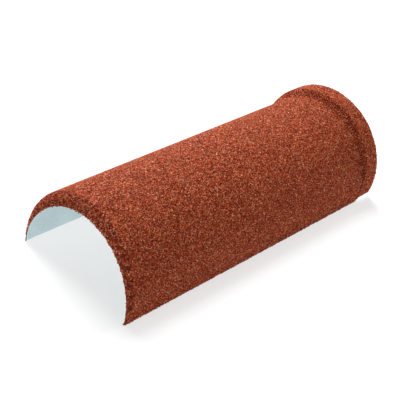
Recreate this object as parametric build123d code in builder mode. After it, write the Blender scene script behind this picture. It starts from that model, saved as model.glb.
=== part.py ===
from build123d import *
import math
import os

# Half round ridge tile pressed from one piece of stone coated steel sheet.
# X runs along the tile from its plain end to its collar, Y across it and Z up.
# The origin is on the level that the two long edges rest on, at the middle of
# the tile's length and width. All sizes are in millimetres.

# Sheet: steel core with its primer and the stone granules bonded to the outside
SHEET = 2.0

# Arched body, measured on its outside
HALF_WIDTH = 80.0
CROWN_HEIGHT = 97.0
BODY_LENGTH = 384.0

# Raised collar that the next tile's plain end laps over
COLLAR_LENGTH = 27.0
COLLAR_STEP_LENGTH = 7.5
COLLAR_STEP_SECTIONS = 6
COLLAR_LIFT = 9.0
COLLAR_SPREAD = 1.2
COLLAR_FOOT_CLEARANCE = 4.5

# Lip turned down at the plain end, deepest at the crown, round a half round mouth
LIP_SETBACK_AT_CROWN = 10.5
LIP_BEND_RADIUS = 5.0
MOUTH_RADIUS = 79.0

# Worked out from the sizes above
OVERALL_LENGTH = BODY_LENGTH + COLLAR_LENGTH
PLAIN_END_X = -OVERALL_LENGTH / 2
COLLAR_ROOT_X = PLAIN_END_X + BODY_LENGTH
COLLAR_TOP_X = COLLAR_ROOT_X + COLLAR_STEP_LENGTH
COLLAR_END_X = OVERALL_LENGTH / 2
ARCH_RADIUS = (HALF_WIDTH**2 + CROWN_HEIGHT**2) / (2 * CROWN_HEIGHT)
ARCH_CENTRE_Z = CROWN_HEIGHT - ARCH_RADIUS
LIP_LEAN = math.atan2(LIP_SETBACK_AT_CROWN, CROWN_HEIGHT)
STEP_SLOPE = math.atan2(COLLAR_LIFT + COLLAR_SPREAD, COLLAR_STEP_LENGTH)

# Room that cutters run past the faces they cut
OVERCUT = 5.0


def cross_plane(x):
    """Plane across the tile at x, with its own x along Y and its own y along Z."""
    return Plane(origin=(x, 0, 0), x_dir=(0, 1, 0), z_dir=(1, 0, 0))


def lip_plane(inset):
    """Plane of the plain end, leaning back so that the crown is set behind the feet."""
    normal = (math.cos(LIP_LEAN), 0, -math.sin(LIP_LEAN))
    return Plane(origin=(PLAIN_END_X, 0, 0), x_dir=(0, 1, 0), z_dir=normal).offset(inset)


def smooth_rise(along):
    """Height of the collar's step, which leaves the body and meets the land without a crease."""
    return along * along * (3 - 2 * along)


def arch_section(x, inset, rise):
    """Arch profile at x, inside the outer face by inset, with rise from 0 on the body to 1 on the collar."""
    radius = ARCH_RADIUS + COLLAR_SPREAD * rise - inset
    centre_z = ARCH_CENTRE_Z + COLLAR_LIFT * rise
    half_width = math.sqrt(radius**2 - centre_z**2)
    with BuildSketch(cross_plane(x)) as section:
        with BuildLine():
            ThreePointArc((-half_width, 0), (0, centre_z + radius), (half_width, 0))
            Line((half_width, 0), (-half_width, 0))
        make_face()
    return section.sketch


def solid_arch(inset):
    """Arch without its hollow, inside the tile's outer face by inset on every side."""
    step_shift = inset * math.tan(STEP_SLOPE / 2)
    step_x = COLLAR_ROOT_X + step_shift
    with BuildPart() as arch:
        extrude(arch_section(PLAIN_END_X, inset, 0), amount=step_x - PLAIN_END_X)
        for count in range(COLLAR_STEP_SECTIONS):
            along = count / (COLLAR_STEP_SECTIONS - 1)
            add(arch_section(step_x + COLLAR_STEP_LENGTH * along, inset, smooth_rise(along)))
        loft()
        land = COLLAR_END_X + inset - step_x - COLLAR_STEP_LENGTH
        extrude(arch_section(step_x + COLLAR_STEP_LENGTH, inset, 1), amount=land)
        split(bisect_by=lip_plane(inset), keep=Keep.TOP)
        fillet(arch.edges().filter_by(GeomType.ELLIPSE), radius=LIP_BEND_RADIUS - inset)
    return arch.part


# Half round mouth through the plain end, nowhere wider than the sheet's inner face
with BuildPart() as mouth:
    extrude(arch_section(PLAIN_END_X - OVERCUT, SHEET, 0), amount=LIP_SETBACK_AT_CROWN + SHEET + 2 * OVERCUT)
    with BuildSketch(lip_plane(0)):
        Circle(MOUTH_RADIUS)
    extrude(amount=SHEET + OVERCUT, both=True, mode=Mode.INTERSECT)

with BuildPart() as ridge_tile:
    add(solid_arch(0))
    add(solid_arch(SHEET), mode=Mode.SUBTRACT)
    add(mouth.part, mode=Mode.SUBTRACT)

    # Feet of the collar, trimmed clear of the roof
    with BuildSketch(Plane.XZ):
        with BuildLine():
            Polyline(
                (COLLAR_ROOT_X, -OVERCUT),
                (COLLAR_ROOT_X, 0),
                (COLLAR_TOP_X, COLLAR_FOOT_CLEARANCE),
                (COLLAR_END_X + OVERCUT, COLLAR_FOOT_CLEARANCE),
                (COLLAR_END_X + OVERCUT, -OVERCUT),
                close=True,
            )
        make_face()
    extrude(amount=2 * HALF_WIDTH, both=True, mode=Mode.SUBTRACT)

ridge_tile.part.label = "ridge_tile"
os.makedirs("parts", exist_ok=True)
export_step(ridge_tile.part, "parts/ridge_tile.step")
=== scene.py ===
"""Looks of the half round ridge tile: primed sheet, binder coat and bonded stone granules.

All lengths are in metres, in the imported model's frame: X runs along the tile from its
plain end to its collar, Y across it and Z up from the level that the long edges rest on.
"""

import math

import bpy
import numpy as np
from mathutils import Matrix, Vector


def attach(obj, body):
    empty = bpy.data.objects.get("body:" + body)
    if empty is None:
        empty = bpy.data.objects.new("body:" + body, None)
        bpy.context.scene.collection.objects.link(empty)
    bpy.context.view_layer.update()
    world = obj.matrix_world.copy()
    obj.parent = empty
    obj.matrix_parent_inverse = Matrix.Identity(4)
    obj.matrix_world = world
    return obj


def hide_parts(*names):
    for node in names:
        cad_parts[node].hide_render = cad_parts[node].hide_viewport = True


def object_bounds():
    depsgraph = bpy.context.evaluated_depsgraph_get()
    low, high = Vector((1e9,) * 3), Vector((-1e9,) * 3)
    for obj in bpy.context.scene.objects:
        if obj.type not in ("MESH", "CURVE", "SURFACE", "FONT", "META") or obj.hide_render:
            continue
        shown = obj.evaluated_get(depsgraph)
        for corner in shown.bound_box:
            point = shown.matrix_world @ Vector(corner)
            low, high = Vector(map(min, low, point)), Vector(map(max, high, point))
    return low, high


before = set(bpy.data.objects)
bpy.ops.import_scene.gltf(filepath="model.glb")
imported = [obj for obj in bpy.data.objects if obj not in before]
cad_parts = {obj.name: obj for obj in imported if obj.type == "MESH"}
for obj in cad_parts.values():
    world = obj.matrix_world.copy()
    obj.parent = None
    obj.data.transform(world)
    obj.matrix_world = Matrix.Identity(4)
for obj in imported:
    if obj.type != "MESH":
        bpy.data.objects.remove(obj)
CAD_LOW, CAD_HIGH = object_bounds()

MM = 0.001
SEED = 20

# Tile sizes that the part's source drives
HALF_WIDTH = 80 * MM
COLLAR_LENGTH = 27 * MM
COLLAR_STEP = 7.5 * MM
COLLAR_LIFT = 9 * MM
COLLAR_SPREAD = 1.2 * MM
COLLAR_FOOT_CLEARANCE = 4.5 * MM
LIP_SETBACK = 10.5 * MM
LIP_BEND = 5 * MM
MOUTH_RADIUS = 79 * MM

# Worked out from the frame's box and the sizes above
CROWN_HEIGHT = CAD_HIGH.z - COLLAR_LIFT - COLLAR_SPREAD
COLLAR_END = CAD_HIGH.x
COLLAR_ROOT = COLLAR_END - COLLAR_LENGTH
PLAIN_END = -COLLAR_END
ARCH_RADIUS = (HALF_WIDTH**2 + CROWN_HEIGHT**2) / (2 * CROWN_HEIGHT)
ARCH_CENTRE = CROWN_HEIGHT - ARCH_RADIUS
LEAN = math.atan2(LIP_SETBACK, CROWN_HEIGHT)
STEP_SLOPE = math.atan2(COLLAR_LIFT + COLLAR_SPREAD, COLLAR_STEP)

# Depths below the outer surface, which the tips of the granules reach
STEEL_INSIDE = 2.0 * MM
STEEL_OUTSIDE = 1.45 * MM
BINDER_OUTSIDE = 0.95 * MM

# Stretches of the tile's profile, from the mouth to the collar's end
LIP, BODY, STEP, LAND = range(4)

# Angles from the crown between which every row across the tile meets its long edge
LEAST_FOOT_TURN = math.radians(45)
WIDEST_FOOT_TURN = math.radians(115)

# Halvings with which bisect finds a place, and the step in angle and share that slopes are taken over
HALVINGS = 40
SLOPE_STEP = 0.001


def bisect(low, high, is_low_side):
    """Arrays of the places where is_low_side turns false, between the arrays low and high."""
    for _ in range(HALVINGS):
        middle = (low + high) / 2
        below = is_low_side(middle)
        low = np.where(below, middle, low)
        high = np.where(below, high, middle)
    return (low + high) / 2


def columns(x, y, z):
    """Points as rows of x, y and z, from arrays or numbers."""
    return np.stack(np.broadcast_arrays(x, y, z), axis=-1)


def unit(vectors):
    """Vectors of the same directions, each one long."""
    return vectors / np.linalg.norm(vectors, axis=-1, keepdims=True)


# Directions in the plane of the lip, which leans back by LEAN, and out of it
TO_OUTSIDE = np.array((-math.cos(LEAN), 0, math.sin(LEAN)))
UP_THE_LIP = np.array((math.sin(LEAN), 0, math.cos(LEAN)))
ACROSS = np.array((0, 1, 0))


def bend_centre(turn):
    """Centre line of the bend between the body and the lip, at angle turn from the crown."""
    reach = ARCH_RADIUS - LIP_BEND
    z = ARCH_CENTRE + reach * np.cos(turn)
    x = PLAIN_END + (LIP_BEND + z * math.sin(LEAN)) / math.cos(LEAN)
    return columns(x, reach * np.sin(turn), z)


def full_bend(turn):
    """Angle between the outward directions of the body and of the lip."""
    return np.arccos(np.cos(turn) * math.sin(LEAN))


def bend_direction(turn, angle):
    """Outward direction on the bend, angle on from the body's own outward direction."""
    radial = columns(0, np.sin(turn), np.cos(turn))
    full = full_bend(turn)
    from_body = (np.sin(full - angle) / np.sin(full))[..., None]
    from_lip = (np.sin(angle) / np.sin(full))[..., None]
    return from_body * radial + from_lip * TO_OUTSIDE


def mouth_distance(points):
    """Distance of points from the mouth's axis, in the plane of the lip."""
    from_foot = points - np.array((PLAIN_END, 0, 0))
    return np.hypot(from_foot @ ACROSS, from_foot @ UP_THE_LIP)


def bend_end(turn):
    """Angle that the bend turns through before the mouth cuts it, and the lip's flat depth after it."""
    full = full_bend(turn)
    centre = bend_centre(turn)

    def outside_mouth(angle):
        point = centre + LIP_BEND * bend_direction(turn, angle)
        from_axis = np.hypot(point[..., 1], point[..., 2] - ARCH_CENTRE)
        return (mouth_distance(point) > MOUTH_RADIUS) | (from_axis > ARCH_RADIUS - STEEL_INSIDE)

    angle = bisect(np.zeros_like(turn), full, outside_mouth)
    flat = np.maximum(mouth_distance(centre) - MOUTH_RADIUS, 0)
    return np.where(flat > 0, full, angle), flat


def stretch_length(turn, stretch):
    """Length of one stretch of the outer profile at angle turn from the crown."""
    if stretch == LIP:
        angle, flat = bend_end(turn)
        return LIP_BEND * angle + flat
    if stretch == BODY:
        return COLLAR_ROOT - bend_centre(turn)[..., 0]
    if stretch == STEP:
        return np.hypot(COLLAR_STEP, COLLAR_LIFT * np.cos(turn) + COLLAR_SPREAD)
    return np.full_like(turn, COLLAR_LENGTH - COLLAR_STEP)


def tile_point(turn, stretch, share, inset=0.0):
    """Points at angle turn from the crown and at share of one stretch, inset below the outer surface."""
    turn, share = np.broadcast_arrays(np.asarray(turn, float), np.asarray(share, float))
    step_shift = inset * math.tan(STEP_SLOPE / 2)
    if stretch == LIP:
        angle, flat = bend_end(turn)
        back = (1 - share) * (LIP_BEND * angle + flat)
        turned = np.minimum(back / LIP_BEND, angle)
        along_lip = np.maximum(back - LIP_BEND * angle, 0)
        centre = bend_centre(turn)
        inwards = np.array((PLAIN_END, 0, 0)) - centre
        inwards = unit(inwards - (inwards @ TO_OUTSIDE)[..., None] * TO_OUTSIDE)
        outwards = bend_direction(turn, turned)
        return centre + (LIP_BEND - inset) * outwards + along_lip[..., None] * inwards
    if stretch == BODY:
        start = bend_centre(turn)[..., 0]
        x = start + share * (COLLAR_ROOT + step_shift - start)
        rise = np.zeros_like(share)
    elif stretch == STEP:
        x = COLLAR_ROOT + step_shift + share * COLLAR_STEP
        rise = share * share * (3 - 2 * share)
    else:
        top = COLLAR_ROOT + step_shift + COLLAR_STEP
        x = top + share * (COLLAR_END - top)
        rise = np.ones_like(share)
    radius = ARCH_RADIUS + COLLAR_SPREAD * rise - inset
    centre_z = ARCH_CENTRE + COLLAR_LIFT * rise
    return columns(x, radius * np.sin(turn), centre_z + radius * np.cos(turn))


def foot_height(stretch, share):
    """Height of the long edges, which the collar's feet are trimmed clear of."""
    if stretch == STEP:
        return COLLAR_FOOT_CLEARANCE * share
    if stretch == LAND:
        return np.full_like(share, COLLAR_FOOT_CLEARANCE)
    return np.zeros_like(share)


def foot_turn(stretch, share, inset):
    """Angle from the crown at which a row across the tile meets its long edge."""
    height = foot_height(stretch, share)

    def above_foot(turn):
        return tile_point(turn, stretch, share, inset)[..., 2] > height

    least = np.full_like(share, LEAST_FOOT_TURN)
    widest = np.full_like(share, WIDEST_FOOT_TURN)
    return bisect(least, widest, above_foot)


def tile_normal(turn, stretch, share):
    """Outward unit normals of the outer surface, and unit directions along its profile."""
    ahead = tile_point(turn, stretch, np.minimum(share + SLOPE_STEP, 1))
    behind = tile_point(turn, stretch, np.maximum(share - SLOPE_STEP, 0))
    left = tile_point(turn + SLOPE_STEP, stretch, share)
    right = tile_point(turn - SLOPE_STEP, stretch, share)
    along = ahead - behind
    normal = np.cross(along, left - right)
    return unit(normal), unit(along)


def mesh_object(name, points, faces, smooth_angle=None):
    """New object from arrays of points and of faces that all have the same number of corners."""
    mesh = bpy.data.meshes.new(name)
    corners = faces.shape[1]
    mesh.vertices.add(len(points))
    mesh.vertices.foreach_set("co", np.ascontiguousarray(points, np.float32).ravel())
    mesh.loops.add(faces.size)
    mesh.loops.foreach_set("vertex_index", np.ascontiguousarray(faces, np.int32).ravel())
    mesh.polygons.add(len(faces))
    mesh.polygons.foreach_set("loop_start", np.arange(0, faces.size, corners, dtype=np.int32))
    mesh.update(calc_edges=True)
    mesh.validate()
    if smooth_angle is None:
        mesh.shade_flat()
    else:
        mesh.set_sharp_from_angle(angle=smooth_angle)
    piece = bpy.data.objects.new(name, mesh)
    bpy.context.scene.collection.objects.link(piece)
    return piece


# Rows of the sheet's mesh for each stretch, its columns, and the sharpest edge that is shaded smooth
STRETCH_ROWS = {LIP: 22, BODY: 12, STEP: 12, LAND: 4}
SHEET_COLUMNS = 192
SMOOTH_ANGLE = math.radians(35)

# How far the steel and the binder stay short of the mouth and the collar's end, and the binder also of the
# long edges
STEEL_END_GAP = 0.25 * MM
BINDER_END_GAP = 0.35 * MM
BINDER_FOOT_GAP = 0.25 * MM


def sheet_grid(inset, end_gap, foot_gap):
    """Grid of points at one depth, from the mouth to the collar's end, held back from the edges."""
    rows = []
    across = np.linspace(-1, 1, SHEET_COLUMNS + 1)
    for stretch, count in STRETCH_ROWS.items():
        shares = np.linspace(0, 1, count + 1)
        if stretch != LAND:
            shares = shares[:-1]
        for share in shares:
            place = share
            if stretch == LIP:
                place = max(share, end_gap / (2 * LIP_BEND))
            if stretch == LAND:
                place = min(share, 1 - end_gap / (COLLAR_LENGTH - COLLAR_STEP))
            widest = foot_turn(stretch, np.array([place]), inset)[0] - foot_gap / ARCH_RADIUS
            rows.append(tile_point(across * widest, stretch, place, inset))
    return np.array(rows)


def closed_sheet(name, outer_inset, inner_inset, end_gap, foot_gap):
    """Closed sheet between two depths. Returns the object and the numbers of faces outside and inside."""
    outer = sheet_grid(outer_inset, end_gap, foot_gap)
    inner = sheet_grid(inner_inset, end_gap, foot_gap)
    rows, across = outer.shape[:2]
    index = np.arange(rows * across).reshape(rows, across)
    under = index + index.size

    def quads(grid):
        return np.stack((grid[:-1, :-1], grid[:-1, 1:], grid[1:, 1:], grid[1:, :-1]), -1).reshape(-1, 4)

    rim = np.concatenate((index[0, :-1], index[:-1, -1], index[-1, :0:-1], index[:0:-1, 0]))
    rim_under = rim + index.size
    around = np.stack((rim, rim_under, np.roll(rim_under, -1), np.roll(rim, -1)), -1)
    outside = quads(index)
    inside = quads(under)[:, ::-1]
    faces = np.concatenate((outside, inside, around))
    points = np.concatenate((outer.reshape(-1, 3), inner.reshape(-1, 3)))
    piece = mesh_object(name, points, faces, smooth_angle=SMOOTH_ANGLE)
    return piece, len(outside), len(inside)


# Granules: how they are spread, with jitter as a share of the spacing
GRAIN_SPACING = 1.25 * MM
GRAIN_JITTER = 0.42
BODY_PIECES = 5

# Typical size of a granule, and as shares of it the ranges of its length, width, height and corners
GRAIN_HALF_WIDTH = 0.70 * MM
GRAIN_HALF_HEIGHT = 0.58 * MM
GRAIN_SIZE_SPREAD = 0.22
LENGTH_RANGE = (0.95, 1.25)
WIDTH_RANGE = (0.75, 1.05)
HEIGHT_RANGE = (0.8, 1.15)
CORNER_RANGE = (0.55, 1.0)

# How a granule lies in the coat: its tilt, how far its top is at most below the outer surface, with a power
# that makes it mostly less, and how far its base stays clear of the steel
GRAIN_TILT = math.radians(24)
GRAIN_SUNK = 0.5 * MM
SUNK_POWER = 1.5
GRAIN_STEEL_GAP = 0.05 * MM
GRAIN_BOTTOM = STEEL_OUTSIDE - GRAIN_STEEL_GAP

# The coat ends above the long edges. Round the mouth and at the collar's end it is ragged, from a little
# past the sheet to a little short of it
GRAIN_EDGE_GAP = 0.15 * MM
GRAIN_PAST_EDGE = 0.1 * MM
GRAIN_SHORT_OF_EDGE = 0.4 * MM

# Granules are left out of the lip in patches, partly for a coat thinned by pressing and partly as painted
# shade, as the dark binder that shows darkens the lip, more towards its sides. Width of the patches, and
# the share of granules that the worst of them lose at the crown and, from the given angle on, at the sides
LIP_PATCH = 4 * MM
PATCH_RANGE = (0.7, 1.3)
PATCH_WAVES = 12
LOSS_AT_CROWN = 0.55
LOSS_AT_SIDES = 0.95
SIDES_FROM = math.radians(60)

# Map on which each granule gets a cell of its own, and how far the top and the base of a granule
# reach from the middle of its cell
BAKE_MAP = "OFBake"
TOP_REACH = 0.25
BASE_REACH = 0.5


def ring(corners, height, width, turned):
    """Corners of one level of a grain, evenly round it and turned by a share of the step between them."""
    angles = (np.arange(corners) + turned) * 2 * math.pi / corners
    return np.stack((width * np.cos(angles), width * np.sin(angles), np.full(corners, height)), -1)


# Two kinds of grain, each with its base ring before its top ring: a four sided block, and a wedge with
# three corners below and three above
BLOCK_CORNERS = np.concatenate((
    ring(4, height=-1, width=1.25, turned=0.5),
    ring(4, height=1, width=1.1, turned=0.5),
))
BLOCK_TRIANGLES = np.array((
    (0, 2, 1), (0, 3, 2), (4, 5, 6), (4, 6, 7), (0, 1, 5), (0, 5, 4),
    (1, 2, 6), (1, 6, 5), (2, 3, 7), (2, 7, 6), (3, 0, 4), (3, 4, 7),
))
WEDGE_CORNERS = np.concatenate((
    ring(3, height=-1, width=1.2, turned=0),
    ring(3, height=1, width=1.05, turned=0.5),
))
WEDGE_TRIANGLES = np.array((
    (0, 2, 1), (3, 4, 5), (0, 1, 3), (1, 4, 3), (1, 2, 4), (2, 5, 4), (2, 0, 5), (0, 3, 5),
))


def patches(rng, first, second, size):
    """Smooth random values from 0 to 1 over a plane, with patches about as wide as size."""
    total = np.zeros_like(first)
    for _ in range(PATCH_WAVES):
        heading = rng.uniform(0, 2 * math.pi)
        phase = rng.uniform(0, 2 * math.pi)
        pace = math.pi * rng.uniform(*PATCH_RANGE) / size
        total += np.sin(pace * (first * math.cos(heading) + second * math.sin(heading)) + phase)
    return np.clip(0.5 + total / (2 * math.sqrt(PATCH_WAVES)), 0, 1)


def grain_places(rng, stretch):
    """Random even places on one stretch: angles from the crown and shares along it."""
    widest = foot_turn(stretch, np.array([0.5]), 0)[0]
    reach = widest * ARCH_RADIUS
    longest = stretch_length(np.array([0.0]), stretch)[0]
    longest = max(longest, stretch_length(np.array([widest]), stretch)[0])
    row_gap = GRAIN_SPACING * math.sqrt(3) / 2
    arc, run = np.meshgrid(np.arange(-reach, reach, GRAIN_SPACING), np.arange(0, longest, row_gap))
    arc[1::2] += GRAIN_SPACING / 2
    arc = arc.ravel() + rng.uniform(-GRAIN_JITTER, GRAIN_JITTER, arc.size) * GRAIN_SPACING
    run = run.ravel() + rng.uniform(-GRAIN_JITTER, GRAIN_JITTER, run.size) * GRAIN_SPACING
    turn = arc / ARCH_RADIUS
    length = stretch_length(turn, stretch)
    ragged = rng.uniform(-GRAIN_PAST_EDGE, GRAIN_SHORT_OF_EDGE, run.size)
    first = ragged if stretch == LIP else 0
    last = ragged if stretch == LAND else 0
    if stretch == LIP:
        run = length - run
    kept = (run > first) & (run < length - last)
    turn, run, length = turn[kept], run[kept], length[kept]
    share = run / length
    point = tile_point(turn, stretch, share)
    kept = point[:, 2] > foot_height(stretch, share) + GRAIN_EDGE_GAP
    crowding = np.hypot(point[:, 1], point[:, 2] - ARCH_CENTRE) / ARCH_RADIUS
    kept &= rng.uniform(0, 1, len(turn)) < crowding
    if stretch == LIP:
        # Patches of left out granules: partly a thinned coat, partly painted shade that darkens the lip
        # towards its sides
        thinned_and_shaded_patches = patches(rng, turn * ARCH_RADIUS, run, LIP_PATCH)
        loss_and_shade = np.interp(np.abs(turn), (0, SIDES_FROM), (LOSS_AT_CROWN, LOSS_AT_SIDES))
        kept &= rng.uniform(0, 1, len(turn)) > loss_and_shade * thinned_and_shaded_patches
    return turn[kept], share[kept]


def grain_shapes(rng, turn, stretch, share, form, triangles):
    """Corners and triangles of closed angular grains of one form, bonded at the given places."""
    count = len(turn)
    corner_count = len(form)
    place = tile_point(turn, stretch, share)
    normal, along = tile_normal(turn, stretch, share)
    side = np.cross(normal, along)
    spin = rng.uniform(0, 2 * math.pi, count)
    tilt = rng.uniform(-GRAIN_TILT, GRAIN_TILT, (2, count))
    size = np.exp(rng.normal(0, GRAIN_SIZE_SPREAD, count))
    long = GRAIN_HALF_WIDTH * size * rng.uniform(*LENGTH_RANGE, count)
    wide = GRAIN_HALF_WIDTH * size * rng.uniform(*WIDTH_RANGE, count)
    tall = GRAIN_HALF_HEIGHT * size * rng.uniform(*HEIGHT_RANGE, count)
    corners = form[None] * rng.uniform(*CORNER_RANGE, (count, corner_count, 3))
    corners = corners * np.stack((long, wide, tall), -1)[:, None]
    first = along * np.cos(spin)[:, None] + side * np.sin(spin)[:, None]
    second = np.cross(normal, first)
    up = unit(normal + first * np.tan(tilt[0])[:, None] + second * np.tan(tilt[1])[:, None])
    first = unit(np.cross(second, up))
    second = np.cross(up, first)
    axes = np.stack((first, second, up), 1)
    corners = np.einsum("nci,nij->ncj", corners, axes)
    highest = np.einsum("ncj,nj->nc", corners, normal).max(1)
    sunk = highest + rng.uniform(0, 1, count) ** SUNK_POWER * GRAIN_SUNK
    corners = corners - normal[:, None] * sunk[:, None, None]
    depth = -np.einsum("ncj,nj->nc", corners, normal)
    too_deep = np.maximum(depth - GRAIN_BOTTOM, 0)
    corners = corners + normal[:, None] * too_deep[..., None]
    points = np.clip((place[:, None] + corners).reshape(-1, 3), CAD_LOW, CAD_HIGH)
    faces = (triangles[None] + corner_count * np.arange(count)[:, None, None]).reshape(-1, 3)
    return points, faces


def cell_places(form):
    """Place of each corner of a form in its cell of the map, seen from above with the top drawn in."""
    angle = np.arctan2(form[:, 1], form[:, 0])
    reach = np.where(form[:, 2] > 0, TOP_REACH, BASE_REACH)
    return 0.5 + reach[:, None] * np.stack((np.cos(angle), np.sin(angle)), -1)


def map_grains(piece, blocks, wedges):
    """Gives each grain a square cell of its own on the map, so that the grains' colours on it stay apart.
    """
    cells = math.ceil(math.sqrt(blocks + wedges))
    of_blocks = np.repeat(np.arange(blocks), len(BLOCK_CORNERS))
    of_wedges = np.repeat(np.arange(blocks, blocks + wedges), len(WEDGE_CORNERS))
    grain = np.concatenate((of_blocks, of_wedges))
    inside = np.concatenate((
        np.tile(cell_places(BLOCK_CORNERS), (blocks, 1)),
        np.tile(cell_places(WEDGE_CORNERS), (wedges, 1)),
    ))
    places = (np.stack((grain % cells, grain // cells), -1) + inside) / cells
    vertices = np.empty(len(piece.data.loops), np.int32)
    piece.data.loops.foreach_get("vertex_index", vertices)
    layer = piece.data.uv_layers.new(name=BAKE_MAP)
    layer.uv.foreach_set("vector", places[vertices].astype(np.float32).ravel())


def grain_mesh(name, rng, turn, stretch, share):
    """One mesh of blocks and wedges in equal numbers, with a tone, a shade and a gloss for each grain."""
    half = len(turn) // 2
    chosen = rng.permutation(len(turn))
    blocks, wedges = chosen[:half], chosen[half:]
    block_points, block_faces = grain_shapes(
        rng, turn[blocks], stretch, share[blocks], BLOCK_CORNERS, BLOCK_TRIANGLES,
    )
    wedge_points, wedge_faces = grain_shapes(
        rng, turn[wedges], stretch, share[wedges], WEDGE_CORNERS, WEDGE_TRIANGLES,
    )
    points = np.concatenate((block_points, wedge_points))
    faces = np.concatenate((block_faces, wedge_faces + len(block_points)))
    piece = mesh_object(name, points, faces)
    for attribute in ("grain_tone", "grain_shade", "grain_gloss"):
        of_blocks = np.repeat(rng.uniform(0, 1, len(blocks)), len(BLOCK_CORNERS))
        of_wedges = np.repeat(rng.uniform(0, 1, len(wedges)), len(WEDGE_CORNERS))
        values = np.concatenate((of_blocks, of_wedges)).astype(np.float32)
        piece.data.attributes.new(attribute, "FLOAT", "POINT").data.foreach_set("value", values)
    map_grains(piece, len(blocks), len(wedges))
    return piece


def linear(red, green, blue):
    """Scene colour from an 8 bit screen colour."""
    scaled = [value / 255 for value in (red, green, blue)]
    return [c / 12.92 if c <= 0.04045 else ((c + 0.055) / 1.055) ** 2.4 for c in scaled] + [1]


class Nodes:
    """Short way to add and join shader nodes."""

    def __init__(self, name):
        self.material = bpy.data.materials.new(name)
        self.material.use_nodes = True
        self.tree = self.material.node_tree
        self.tree.nodes.clear()
        self.output = self.add("ShaderNodeOutputMaterial")

    def add(self, kind, inputs=None, **settings):
        """Adds a node, sets its properties and fills its inputs with values or other nodes' outputs."""
        node = self.tree.nodes.new(kind)
        for key, value in settings.items():
            setattr(node, key, value)
        for key, value in (inputs or {}).items():
            if isinstance(value, bpy.types.NodeSocket):
                self.tree.links.new(value, node.inputs[key])
            else:
                node.inputs[key].default_value = value
        return node

    def ramp(self, factor, stops, interpolation="LINEAR"):
        """Colour ramp with (position, colour) stops."""
        node = self.add("ShaderNodeValToRGB", {"Fac": factor})
        node.color_ramp.interpolation = interpolation
        elements = node.color_ramp.elements
        while len(elements) < len(stops):
            elements.new(0.5)
        for element, (position, colour) in zip(elements, stops):
            element.position = position
            element.color = colour
        return node.outputs["Color"]

    def noise(self, scale, detail=2.0):
        """Noise in object space with features about one over scale in size."""
        place = self.add("ShaderNodeTexCoord").outputs["Object"]
        inputs = {"Vector": place, "Scale": scale, "Detail": detail}
        return self.add("ShaderNodeTexNoise", inputs).outputs["Fac"]

    def spread(self, value, low, high, start=0.0, end=1.0, **settings):
        """Value scaled so that start gives low and end gives high."""
        inputs = {"Value": value, "From Min": start, "From Max": end, "To Min": low, "To Max": high}
        return self.add("ShaderNodeMapRange", inputs, **settings).outputs["Result"]

    def combine(self, operation, first, second):
        """Sum, product or other result of two values."""
        return self.add("ShaderNodeMath", {0: first, 1: second}, operation=operation).outputs["Value"]

    def bump(self, height, strength, distance):
        """Normals of a surface roughened by a height from 0 to 1."""
        inputs = {"Height": height, "Strength": strength, "Distance": distance}
        return self.add("ShaderNodeBump", inputs).outputs["Normal"]

    def finish(self, shader):
        """Joins the shader to the output and returns the material."""
        self.tree.links.new(shader.outputs[0], self.output.inputs["Surface"])
        return self.material


# Colours of the granules, each from its share of them on
GRAIN_COLOURS = (
    (0.00, linear(107, 34, 11)),
    (0.11, linear(147, 53, 23)),
    (0.28, linear(172, 71, 38)),
    (0.50, linear(188, 94, 58)),
    (0.72, linear(203, 122, 88)),
    (0.87, linear(211, 143, 109)),
    (0.92, linear(174, 107, 66)),
    (0.96, linear(166, 55, 42)),
)

# Dark and light of the other materials, and the levels of their noise at which each is reached
BINDER_COLOURS = ((0.35, linear(64, 24, 14)), (0.65, linear(118, 46, 28)))
PRIMER_COLOURS = ((0.35, linear(208, 226, 230)), (0.65, linear(226, 240, 242)))
CUT_EDGE_COLOURS = ((0.35, linear(52, 42, 40)), (0.65, linear(104, 92, 88)))
WHITE = linear(255, 255, 255)
FLOOR_COLOUR = linear(248, 248, 248)

# Ranges of lightness and roughness
GRAIN_SHADE = (0.70, 1.30)
GRAIN_ROUGHNESS = (0.3, 0.75)
PRIMER_ROUGHNESS = (0.42, 0.58)

# Mottling of the granules: scale of each noise and how far it darkens and lightens, from the first to the
# second of these levels of the noise
MOTTLES = ((900, 0.12), (230, 0.10))
MOTTLE_LEVELS = (0.3, 0.7)


def granule_material():
    """Angular mineral grains in mixed red-browns, some with glossy facets."""
    m = Nodes("stone_granules")
    tone = m.add("ShaderNodeAttribute", attribute_name="grain_tone").outputs["Fac"]
    shade = m.add("ShaderNodeAttribute", attribute_name="grain_shade").outputs["Fac"]
    gloss = m.add("ShaderNodeAttribute", attribute_name="grain_gloss").outputs["Fac"]
    base = m.ramp(tone, GRAIN_COLOURS, "CONSTANT")
    value = m.spread(shade, *GRAIN_SHADE)
    for scale, amount in MOTTLES:
        mottle = m.spread(m.noise(scale, detail=1.0), 1 - amount, 1 + amount, *MOTTLE_LEVELS)
        value = m.combine("MULTIPLY", value, mottle)
    shader = m.add("ShaderNodeBsdfPrincipled", {
        "Base Color": m.add("ShaderNodeHueSaturation", {"Color": base, "Value": value}).outputs["Color"],
        "Roughness": m.spread(gloss, *GRAIN_ROUGHNESS),
        "Specular IOR Level": 0.11,
        "Normal": m.bump(m.noise(4000), strength=0.25, distance=0.1 * MM),
    })
    return m.finish(shader)


def binder_material():
    """Dark red-brown coat that the granules sit in, with fines in it."""
    m = Nodes("binder")
    fines = m.noise(1800, detail=3.0)
    shader = m.add("ShaderNodeBsdfPrincipled", {
        "Base Color": m.ramp(fines, BINDER_COLOURS),
        "Roughness": 0.9,
        "Specular IOR Level": 0.1,
        "Normal": m.bump(fines, strength=0.8, distance=0.3 * MM),
    })
    return m.finish(shader)


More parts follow.
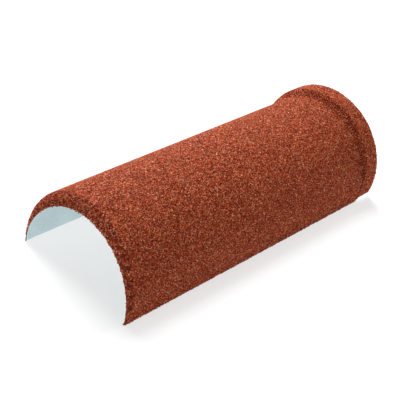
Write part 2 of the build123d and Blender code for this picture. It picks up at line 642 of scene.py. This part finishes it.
def primer_material():
    """Matt pale blue-grey primer, faintly mottled."""
    m = Nodes("primed_steel")
    broad = m.noise(28, detail=3.0)
    fine = m.noise(420)
    mean = m.combine("MULTIPLY", m.combine("ADD", broad, fine), 0.5)
    shader = m.add("ShaderNodeBsdfPrincipled", {
        "Base Color": m.ramp(mean, PRIMER_COLOURS),
        "Roughness": m.spread(fine, *PRIMER_ROUGHNESS),
        "Normal": m.bump(fine, strength=0.12, distance=0.1 * MM),
    })
    return m.finish(shader)


def cut_edge_material():
    """Dull sheared steel with the coat smeared over it."""
    m = Nodes("cut_edge")
    shader = m.add("ShaderNodeBsdfPrincipled", {
        "Base Color": m.ramp(m.noise(700, detail=3.0), CUT_EDGE_COLOURS),
        "Roughness": 0.6,
        "Metallic": 0.4,
    })
    return m.finish(shader)


def build_sheet():
    """Primed steel sheet, whose rim shows as a thin dark cut edge."""
    sheet, outside, inside = closed_sheet("steel_sheet", STEEL_OUTSIDE, STEEL_INSIDE, STEEL_END_GAP, 0)
    sheet.data.materials.append(primer_material())
    sheet.data.materials.append(cut_edge_material())
    slots = np.zeros(len(sheet.data.polygons), np.int32)
    slots[outside + inside:] = 1
    sheet.data.polygons.foreach_set("material_index", slots)
    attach(sheet, "root")
    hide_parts("ridge_tile")


def build_coat():
    """Binder coat on the outside of the sheet, just short of its edges."""
    coat, _, _ = closed_sheet(
        "binder_coat", BINDER_OUTSIDE, STEEL_OUTSIDE, BINDER_END_GAP, BINDER_FOOT_GAP,
    )
    coat.data.materials.append(binder_material())
    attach(coat, "root")


GRANULE_NAMES = {
    LIP: "granules_lip",
    BODY: "granules_body",
    STEP: "granules_step",
    LAND: "granules_collar",
}


def build_granules():
    """Granules of the lip, of the body in lengths, and of the collar."""
    rng = np.random.default_rng(SEED)
    material = granule_material()
    for stretch, name in GRANULE_NAMES.items():
        turn, share = grain_places(rng, stretch)
        lengths = BODY_PIECES if stretch == BODY else 1
        which = np.minimum((share * lengths).astype(int), lengths - 1)
        for number in range(lengths):
            chosen = which == number
            label = f"{name}_{number + 1}" if lengths > 1 else name
            piece = grain_mesh(label, rng, turn[chosen], stretch, share[chosen])
            piece.data.materials.append(material)
            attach(piece, "root")


# Camera, matched to the photograph
CAMERA_AZIMUTH = math.radians(-52.8)
CAMERA_ELEVATION = math.radians(35.17)
CAMERA_ROLL = math.radians(12.44)
CAMERA_DISTANCE = 1140 * MM
CAMERA_TARGET = Vector((-22.9 * MM, 0, 32.3 * MM))
CAMERA_CLIP_END = 50.0
CAMERA_LENS = 91.8
SENSOR = 36.0


def build_camera():
    """Camera at the photograph's viewing angle, with its roll."""
    camera = bpy.data.objects.new("camera", bpy.data.cameras.new("camera"))
    bpy.context.scene.collection.objects.link(camera)
    camera.data.sensor_width = SENSOR
    camera.data.lens = CAMERA_LENS
    camera.data.clip_end = CAMERA_CLIP_END
    flat = math.cos(CAMERA_ELEVATION)
    back = Vector((
        math.sin(CAMERA_AZIMUTH) * flat, -math.cos(CAMERA_AZIMUTH) * flat, math.sin(CAMERA_ELEVATION),
    ))
    aim = (-back).to_track_quat("-Z", "Y") @ Matrix.Rotation(CAMERA_ROLL, 3, "Z").to_quaternion()
    camera.rotation_mode = "QUATERNION"
    camera.rotation_quaternion = aim
    camera.location = CAMERA_TARGET + back * CAMERA_DISTANCE
    bpy.context.scene.camera = camera


# Floor: the camera sees it lightened with this share of plain white near the tile, and as plain white
# farther off
FLOOR_SIZE = 12.0
FLOOR_WHITE = 0.6
NEAR_TILE = 0.4
FAR_FROM_TILE = 1.3


def build_floor():
    """Pale floor that keeps the tile's shadow."""
    half = FLOOR_SIZE / 2
    points = np.array([(-half, -half, 0), (half, -half, 0), (half, half, 0), (-half, half, 0)])
    floor = mesh_object("floor", points, np.array([(0, 1, 2, 3)]))
    m = Nodes("pale_floor")
    seen = m.add("ShaderNodeLightPath").outputs["Is Camera Ray"]
    paint = m.add("ShaderNodeBsdfDiffuse", {"Color": FLOOR_COLOUR}).outputs[0]
    glow = m.add("ShaderNodeEmission", {"Color": WHITE}).outputs[0]
    place = m.add("ShaderNodeTexCoord").outputs["Object"]
    distance = m.add("ShaderNodeVectorMath", {0: place}, operation="LENGTH").outputs["Value"]
    white = m.spread(
        distance, FLOOR_WHITE, 1.0, NEAR_TILE, FAR_FROM_TILE, interpolation_type="SMOOTHSTEP",
    )
    share = m.combine("MULTIPLY", seen, white)
    shader = m.add("ShaderNodeMixShader", {0: share, 1: paint, 2: glow})
    floor.data.materials.append(m.finish(shader))


# Strength of the sky on the tile, while the camera sees it plain white
SKY_STRENGTH = 0.355

# Point inside the tile that the lamps are aimed at
LAMP_AIM = Vector((0, 0, 0.05))


def area_light(name, place, size, power):
    """Soft square lamp aimed at the tile, as a new object."""
    lamp = bpy.data.objects.new(name, bpy.data.lights.new(name, "AREA"))
    lamp.data.shape = "SQUARE"
    lamp.data.size = size
    lamp.data.energy = power
    lamp.location = place
    lamp.rotation_mode = "QUATERNION"
    lamp.rotation_quaternion = (LAMP_AIM - Vector(place)).to_track_quat("-Z", "Y")
    bpy.context.scene.collection.objects.link(lamp)
    return lamp


def build_light():
    """Even sky light, a large soft lamp above, a weak one in front and a far one beyond the collar."""
    world = bpy.data.worlds.new("studio")
    bpy.context.scene.world = world
    world.use_nodes = True
    nodes, links = world.node_tree.nodes, world.node_tree.links
    nodes.clear()
    path = nodes.new("ShaderNodeLightPath")
    strength = nodes.new("ShaderNodeMapRange")
    strength.inputs["To Min"].default_value = SKY_STRENGTH
    strength.inputs["To Max"].default_value = 1.0
    links.new(path.outputs["Is Camera Ray"], strength.inputs["Value"])
    sky = nodes.new("ShaderNodeBackground")
    sky.inputs["Color"].default_value = WHITE
    links.new(strength.outputs["Result"], sky.inputs["Strength"])
    output = nodes.new("ShaderNodeOutputWorld")
    links.new(sky.outputs[0], output.inputs["Surface"])
    area_light("key", place=(0.45, 1.3, 1.75), size=1.4, power=90)
    area_light("front_fill", place=(-1.7, 0.3, 0.4), size=0.7, power=5)
    through = area_light("through_light", place=(5.8, -1.1, 0.6), size=1.8, power=590)
    # No sheen from this one, which meets the body at a grazing angle
    through.visible_glossy = False
    bpy.context.scene.view_settings.view_transform = "Standard"


build_sheet()
build_coat()
build_granules()
build_camera()
build_floor()
build_light()
